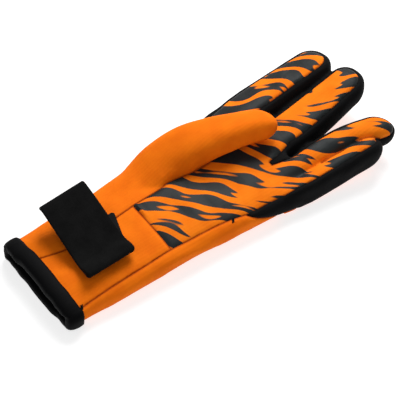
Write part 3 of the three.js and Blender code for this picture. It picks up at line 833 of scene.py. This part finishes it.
panelSlots = {
    "thumb_panel": (orangeJersey, "orange_neoprene"), "palm_panel": (printedJersey, "printed_neoprene"),
    "gauntlet_panel": (orangeJersey, "orange_neoprene"), "back_panel": (orangeJersey, "orange_neoprene"),
    "finger_side_band": (blackJersey, "black_neoprene"),
}


# a panel with its thickness: the skin outside, the lining inside and the cut edges between them
def addPanel(name):
    used, faces = np.unique(panelTriangles[name], return_inverse=True)
    faces = faces.reshape(-1, 3)
    outer = skin[used]
    inner = outer - normals[used] * glove["wall"]
    inner[:, 2] = np.maximum(inner[:, 2], glove["liningAboveFloor"])
    count = len(outer)
    border = borderEdges(faces)
    rim = np.concatenate([
        np.stack([border[:, 1], border[:, 0], border[:, 0] + count], 1),
        np.stack([border[:, 1], border[:, 0] + count, border[:, 1] + count], 1)])
    everything = np.concatenate([faces, faces[:, ::-1] + count, rim])
    # the outside has the panel's own cloth, and the inside and the cut edges have the lining's
    slots = np.concatenate([np.zeros(len(faces), int), np.ones(len(faces) + len(rim), int)])
    material, slotName = panelSlots[name]
    made = addObject(
        "sewn_" + name, np.concatenate([outer, inner]), everything, [material, liningJersey], slots,
        {"seamDistance": np.concatenate([seamDistance[used]] * 2)})
    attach(made, "root")
    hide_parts(name)
    print(name, len(everything), "triangles")


for name in panelTriangles:
    addPanel(name)


# Three thread loops over the seam at each tack
def addTacks():
    beside = [panelTriangles[name] for name in ("gauntlet_panel", "palm_panel", "back_panel")]
    top = skin[np.unique(np.concatenate(beside))]
    top = top[top[:, 2] > glove["thickness"] / 2]
    along = np.linspace(-1, 1, 11)
    across = Vector(seams["tackAcross"]).normalized()
    loops = []
    for x, y in seams["tacks"]:
        for side in (-1, 0, 1):
            middle = np.array([x + side * 2 * seams["tackThread"], y])
            line = middle + np.outer(along, across) * seams["tackLength"] / 2
            near = np.linalg.norm(top[None, :, :2] - line[:, None], axis=2).argmin(axis=1)
            height = np.polyval(np.polyfit(along, top[near, 2], 2), along)
            radius = seams["tackThread"] * np.sqrt(np.maximum(1 - along**4, 0.04))
            turn = np.linspace(0, 2 * math.pi, 10, endpoint=False)
            loops.append(np.stack([
                line[:, None, 0] - across[1] * radius[:, None] * np.cos(turn),
                line[:, None, 1] + across[0] * radius[:, None] * np.cos(turn),
                height[:, None] + radius[:, None] * (np.sin(turn) + 0.6)], axis=2))
    made = addObject("sewn_thread_tacks", *loftAll(loops), [tackThread])
    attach(made, "root")


addTacks()

# The binding is folded round the cuff's edge
binding = {
    "width": 12.0, "tapeWidth": 34.0, "thickness": 1.4, "clearance": 0.3, "inside": 0.4, "overSkin": 0.1,
    "puff": 1.2, "lip": 0.9, "foldOut": 1.7,    # how far it swells, its edge dips and the fold stands out
    "wave": 0.9, "waveAtEdge": 0.6, "waveOut": 0.25,
    "waves": [(5, 0.6, 1.0), (9, 2.1, 0.7), (17, 0.0, 0.4)],    # how many round the cuff, start, height
    "around": 260,
}


def cuffPoint(x, grow, angle):
    half, side, thick = handSection(np.maximum(x, -glove["gauntletLength"]))
    c, s = np.cos(angle), np.sin(angle)
    n = 2 / glove["squareness"]
    y = side + (half + grow) * np.sign(c) * np.abs(c) ** n
    z = thick - glove["pressed"] + (thick + grow) * np.sign(s) * np.abs(s) ** n
    return np.stack([x, y, z], axis=-1)


def addBinding():
    outside = binding["thickness"] + binding["clearance"]
    depth = glove["wall"] + binding["inside"]
    edge = -glove["gauntletLength"]
    profile = []
    for along in np.linspace(1, 0.12, 9):    # over the skin, from its edge to the fold
        swell = binding["puff"] * math.sin(math.pi * along) ** 0.6
        dip = binding["lip"] if along == 1 else 0
        profile.append((edge + binding["width"] * along, outside + swell - dip))
    middle, radius = (outside - depth - outside) / 2, (depth + 2 * outside) / 2
    for turn in np.linspace(0, math.pi, 11)[1:-1]:    # round the fold
        profile.append((edge - math.sin(turn) * binding["foldOut"], middle + radius * math.cos(turn)))
    # back inside the cuff, and then the tape's other face, round to where it started
    for places, grow in (
            (np.linspace(0.1, 1, 7), -depth - outside), ([*np.linspace(1, 0.05, 6), 0], -depth),
            ([0, *np.linspace(0.05, 1, 7)], binding["overSkin"])):
        profile += [(edge + binding["width"] * along, grow) for along in places]
    angle = np.linspace(0, 2 * math.pi, binding["around"], endpoint=False)
    wave = sum(height * np.sin(many * angle + start) for many, start, height in binding["waves"]) / 2
    rings = []
    for x, grow in profile:
        along = binding["wave"] * wave * (binding["waveAtEdge"] if x > edge else 1.0)
        rings.append(cuffPoint(x + along, grow + binding["waveOut"] * wave * (grow > 0), angle))
    rings = np.stack(rings, axis=1)
    around, across = rings.shape[:2]
    flat = rings.reshape(-1, 3)
    faces = []
    j = np.arange(across)
    m = (j + 1) % across
    for i in range(around):
        here, ahead = i * across, (i + 1) % around * across
        faces += np.stack([here + j, here + m, ahead + m, ahead + j], 1).tolist()
    made = addObject("folded_cuff_binding", pressFlat(flat), faces, [bindingTape])
    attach(made, "root")
    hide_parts("cuff_binding")
    line = cuffPoint(np.full(len(angle), edge), 0, angle)
    around = float(np.linalg.norm(line - np.roll(line, 1, axis=0), axis=1).sum())
    print("binding round in mm", round(around, 1))


addBinding()

strap = {
    "width": 40.0, "thickness": 2.6, "fromCuff": 32.0, "reach": 49.0, "lift": 41.0, "twist": 3.5,
    "flare": 4.0, "clearance": 0.3, "corner": 3.0,
    "setIn": 5.0, "setInRows": 4,    # how far the sewn end is set in, and over how many rows
    "foldedEnd": 11.0, "foldedThicker": 2.6,    # the free end is folded under
    # side, how far over the tab, rise
    "path": [
        (0.56, 0.0, 0.0), (0.7, 0.0, 0.08), (0.86, 0.0, 0.46), (0.97, 0.0, 0.84), (1.0, 0.1, 0.97),
        (0.95, 0.2, 1.0), (0.72, 0.6, 0.82), (0.4, 1.0, 0.48), (0.08, 1.0, 0.14), (-0.13, 1.0, 0.01),
        (-0.385, 1.0, 0.0),
    ],
}

tab = {
    "thickness": 2.2, "overhang": 9.6, "endOverhang": -4.0, "curl": 2.5, "corner": 3.5,
    "reach": 20.0, "sewnAt": 1.2, "end": 0.78,
    # along, lift
    "path": [(-1.0, 1.0), (-0.6, 0.8), (0.0, 0.3), (0.5, 0.05), (1.2, 0.0)],
}

tabWidth = strap["width"] + tab["overhang"] - strap["setIn"]
strapSide, strapOnTab, strapRise = (
    curveThrough(range(len(strap["path"])), [row[n] for row in strap["path"]]) for n in range(3))
tabLift = curveThrough([row[0] * tab["reach"] for row in tab["path"]], [row[1] for row in tab["path"]])


def skinHeight(x, y):
    half, side, thick = handSection(x)
    share = np.minimum(np.abs((y - side) / half), 1)
    n = glove["squareness"]
    return thick * (1 + (1 - share**n) ** (1 / n)) - glove["pressed"]


def tabHeight(x, y):
    return skinHeight(x, y) + strap["clearance"] + tabLift(y) * tab["curl"]


# the strap's inner face at places across it, from 0 to 1, and along the rows of its path
def strapPoint(across, along):
    last = len(strap["path"]) - 1
    cuffSide = 1 - across
    x = -glove["gauntletLength"] + strap["fromCuff"] + across * strap["width"]
    setIn = strap["setIn"] * np.clip(1 - along / strap["setInRows"], 0, 1)
    x = x - strap["flare"] * cuffSide * (along / last) ** 2 + setIn
    y = strapSide(along) * strap["reach"]
    fold = strap["lift"] - strap["twist"] * cuffSide
    skinTop = skinHeight(x, y) + strap["thickness"]
    tabTop = tabHeight(x, y) + tab["thickness"]
    low = skinTop + (tabTop - skinTop) * strapOnTab(along) + strap["clearance"]
    return np.stack([x, y, low + np.maximum(strapRise(along), 0) * (fold - low)], axis=-1)


def tabPoint(across, along):
    wide = tabWidth + (tab["endOverhang"] - tab["overhang"]) * along
    x = -glove["gauntletLength"] + strap["fromCuff"] + strap["setIn"] + across * wide
    y = tab["reach"] * (tab["sewnAt"] - (tab["end"] + tab["sewnAt"]) * along)
    return np.stack([x, y, tabHeight(x, y)], axis=-1)


# a band of cloth with rounded edges, corners and ends, from a function that gives its inner face
def addBand(name, face, steps, width, thickness, corner, material, folded=(1.0, 0.0)):
    edgeShare = thickness / width
    flat = np.linspace(-1, 1, 25)
    turn = np.linspace(math.pi / 2, -math.pi / 2, 9)[1:-1]
    half = np.concatenate([flat * (1 - edgeShare), 1 - edgeShare + edgeShare * np.cos(turn)])
    across = np.concatenate([half, -half])
    through = np.concatenate([np.ones(len(flat)), np.sin(turn)])
    through = np.concatenate([through, -through])
    line = face(np.full(len(steps), 0.5), steps)
    run = np.concatenate([[0], np.cumsum(np.linalg.norm(np.diff(line, axis=0), axis=1))])
    rings = []
    for n, step in enumerate(steps):
        toEnd = min(run[n], run[-1] - run[n])
        narrow = corner - math.sqrt(max(corner**2 - max(corner - toEnd, 0) ** 2, 0))
        nearFold = np.clip(1.4 - (run[-1] - run[n]) / folded[0], 0, 1)
        thick = thickness + folded[1] * nearFold**2 * (3 - 2 * nearFold)
        thin = math.sqrt(max(1 - max(1 - toEnd / thick * 2, 0) ** 2, 0.03))
        c = 0.5 + across / 2 * (1 - 2 * narrow / width)
        ends = steps[max(n - 1, 0)], steps[min(n + 1, len(steps) - 1)]
        behind, ahead = (face(c, np.full(len(c), end)) for end in ends)
        along = ahead - behind
        along /= np.linalg.norm(along, axis=1)[:, None]
        square = np.stack([np.zeros(len(c)), along[:, 2], -along[:, 1]], axis=1)
        offset = thick * (0.5 + 0.5 * through * thin)
        rings.append(face(c, np.full(len(c), step)) + square * offset[:, None])
    bandPoints, faces = loft(np.stack(rings))
    made = addObject(name, bandPoints, faces, [material])
    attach(made, "root")
    print(name, "length in mm", round(float(run[-1]), 1))
    return made, float(run[-1])


# steps along a band's path, closer together where its ends are rounded
def fineSteps(last, count):
    near = np.array([0.0, 0.004, 0.012, 0.025, 0.045, 0.07]) * last / 4
    return np.concatenate([near, np.linspace(near[-1], last - near[-1], count)[1:-1], last - near[::-1]])


wristStrap, strapLength = addBand(
    "folded_wrist_strap", strapPoint, fineSteps(len(strap["path"]) - 1, 170), strap["width"],
    strap["thickness"], strap["corner"], loopCloth, (strap["foldedEnd"], strap["foldedThicker"]))
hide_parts("wrist_strap")

hookTab, tabLength = addBand(
    "laid_hook_tab", tabPoint, fineSteps(1, 60), tabWidth, tab["thickness"], tab["corner"], hookTape)
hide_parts("hook_tab")

studio = {
    "floor": ("#B2B2B2", "#B4B4B4"), "floorGlow": 0.72, "floorSize": 6.0, "floorDown": 0.0002,
    "world": "#FFFFFF", "worldStrength": 0.3,
    # place, size, watts
    "lights": [((0.47, 0.45, 0.78), 0.55, 12.4), ((-0.7, -0.8, 1.2), 1.0, 3.0)],
    # the camera's right-hand side, where it looks, and what it looks at
    "right": (0.809, -0.588, 0.0), "look": (0.362, 0.498, -0.788), "target": (-0.0629, -0.0095, 0.024),
    "turn": (0.0262, 0.01144),    # how far it is turned to the right and up from there
    "distance": 1.5, "lens": 176.94,
}


def addStudio():
    floorMesh = bpy.data.meshes.new("tableFloor")
    size = studio["floorSize"]
    corners = [(-size, -size, 0), (size, -size, 0), (size, size, 0), (-size, size, 0)]
    floorMesh.from_pydata(corners, [], [(0, 1, 2, 3)])
    floor = addToScene("tableFloor", floorMesh)
    floor.location.z = -studio["floorDown"]
    # opal acrylic lit from below: matt white, and its glow thins the shadows on it
    acrylic, tree, shader = newMaterial("opalAcrylicTable", {
        "Emission Color": linear("#FFFFFF"), "Emission Strength": studio["floorGlow"],
        "Roughness": 0.95, "Specular IOR Level": 0.1})
    grain = addNode(tree, "ShaderNodeTexNoise", {"Scale": 300.0, "Detail": 2.0})
    colour = addNode(tree, "ShaderNodeMix", {
        0: grain.outputs[0], 6: linear(studio["floor"][0]), 7: linear(studio["floor"][1])}, data_type="RGBA")
    tree.links.new(colour.outputs[2], shader.inputs["Base Color"])
    floorMesh.materials.append(acrylic)
    world = bpy.data.worlds.new("studioWorld")
    bpy.context.scene.world = world
    world.use_nodes = True
    background = world.node_tree.nodes["Background"]
    background.inputs[0].default_value = linear(studio["world"])
    background.inputs[1].default_value = studio["worldStrength"]
    for n, (place, size, watts) in enumerate(studio["lights"]):
        lamp = bpy.data.lights.new("softbox%d" % n, "AREA")
        lamp.energy = watts
        lamp.size = size
        made = addToScene("softbox%d" % n, lamp)
        made.location = place
        made.rotation_euler = (Vector((0, 0, 0)) - Vector(place)).to_track_quat("-Z", "Y").to_euler()


addStudio()


def addCamera():
    right = Vector(studio["right"])
    look = Vector(studio["look"]).normalized()
    up = right.cross(look)
    turnRight, turnUp = studio["turn"]
    aim = (look + turnRight * right + turnUp * up).normalized()
    right = (right - right.dot(aim) * aim).normalized()
    up = right.cross(aim)
    camera = bpy.data.cameras.new("photoCamera")
    camera.lens = studio["lens"]
    camera.sensor_width = 36.0
    camera.clip_start, camera.clip_end = 0.05, 30.0
    made = addToScene("photoCamera", camera)
    made.location = Vector(studio["target"]) - look * studio["distance"]
    made.rotation_euler = Matrix((right, up, -aim)).transposed().to_euler()
    bpy.context.scene.camera = made


addCamera()
bpy.context.scene.view_settings.view_transform = "Standard"
